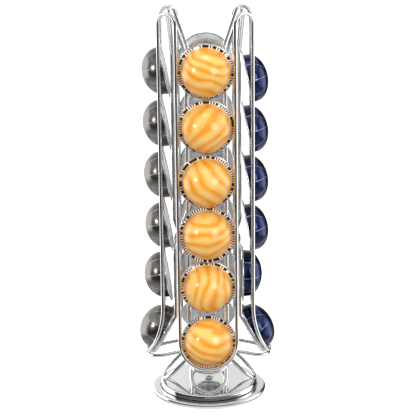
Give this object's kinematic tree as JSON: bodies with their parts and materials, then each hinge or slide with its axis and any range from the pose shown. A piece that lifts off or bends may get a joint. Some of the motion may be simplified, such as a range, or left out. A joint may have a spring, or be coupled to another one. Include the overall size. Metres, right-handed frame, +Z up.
{
  "type": "coffee capsule dispenser",
  "caption": "Rotating chrome wire tower that holds domed coffee capsules in tilted stacks round a turntable on a ball race",
  "frame": {"origin": "on the table, under the centre of the round base, on the axis that the tower turns about", "axes": "+Z up along the tower, -Y towards the front column of capsules, +X towards the right column"},
  "size_m": [0.1457, 0.1518, 0.4179],
  "materials": {
    "pad_rubber": "matt black rubber disc",
    "pan_chrome": "bright chromed pressed steel",
    "plate_chrome": "mirror-bright chromed pressed steel",
    "race_steel": "ground steel washer",
    "ball_steel": "polished bearing balls",
    "white_nylon": "moulded natural nylon",
    "rivet_steel": "plated steel rivet",
    "wire_chrome": "bright chromed round wire",
    "foil_front": "capsule with glossy amber marbled print and silver lid",
    "foil_back": "capsule with glossy amber marbled print and silver lid",
    "foil_right": "capsule with metallic navy skin and silver lid",
    "foil_left": "capsule with metallic dark grey skin and silver lid"
  },
  "bodies": {
    "base": {"base_pan": "pan_chrome", "foot_pad": "pad_rubber", "lower_race": "race_steel", "pivot_rivet": "rivet_steel", "pivot_bush": "white_nylon"},
    "carousel": {"turntable_plate": "plate_chrome", "upper_race": "race_steel", "outer_wire_front": "wire_chrome", "inner_wire_front": "wire_chrome", "foot_loop_front": "wire_chrome", "outer_wire_right": "wire_chrome", "inner_wire_right": "wire_chrome", "foot_loop_right": "wire_chrome", "outer_wire_back": "wire_chrome", "inner_wire_back": "wire_chrome", "foot_loop_back": "wire_chrome", "outer_wire_left": "wire_chrome", "inner_wire_left": "wire_chrome", "foot_loop_left": "wire_chrome", "capsule_front_2": "foil_front", "capsule_front_3": "foil_front", "capsule_front_4": "foil_front", "capsule_front_5": "foil_front", "capsule_front_6": "foil_front", "capsule_right_2": "foil_right", "capsule_right_3": "foil_right", "capsule_right_4": "foil_right", "capsule_right_5": "foil_right", "capsule_right_6": "foil_right", "capsule_back_2": "foil_back", "capsule_back_3": "foil_back", "capsule_back_4": "foil_back", "capsule_back_5": "foil_back", "capsule_back_6": "foil_back", "capsule_left_2": "foil_left", "capsule_left_3": "foil_left", "capsule_left_4": "foil_left", "capsule_left_5": "foil_left", "capsule_left_6": "foil_left"},
    "bearing_cage": {"ball_cage": "white_nylon", "bearing_ball_1": "ball_steel", "bearing_ball_2": "ball_steel", "bearing_ball_3": "ball_steel", "bearing_ball_4": "ball_steel", "bearing_ball_5": "ball_steel", "bearing_ball_6": "ball_steel", "bearing_ball_7": "ball_steel", "bearing_ball_8": "ball_steel"},
    "top_capsule_front": {"capsule_front_1": "foil_front"},
    "top_capsule_right": {"capsule_right_1": "foil_right"},
    "top_capsule_back": {"capsule_back_1": "foil_back"},
    "top_capsule_left": {"capsule_left_1": "foil_left"}
  },
  "joints": [
    {"name": "carousel_turn", "type": "hinge", "parent": "base", "child": "carousel", "pos_m": [0, 0, 0.0125], "axis": [0, 0, 1], "continuous": true},
    {"name": "cage_turn", "type": "hinge", "parent": "base", "child": "bearing_cage", "pos_m": [0, 0, 0.0079], "axis": [0, 0, 1], "continuous": true},
    {"name": "lift_front", "type": "slide", "parent": "carousel", "child": "top_capsule_front", "axis": [0, 0, 1], "range_m": [0, 0.09]},
    {"name": "lift_right", "type": "slide", "parent": "carousel", "child": "top_capsule_right", "axis": [0, 0, 1], "range_m": [0, 0.09]},
    {"name": "lift_back", "type": "slide", "parent": "carousel", "child": "top_capsule_back", "axis": [0, 0, 1], "range_m": [0, 0.09]},
    {"name": "lift_left", "type": "slide", "parent": "carousel", "child": "top_capsule_left", "axis": [0, 0, 1], "range_m": [0, 0.09]}
  ],
  "couplings": [
    {"joint": "cage_turn", "follows": "carousel_turn", "ratio": 0.5}
  ]
}
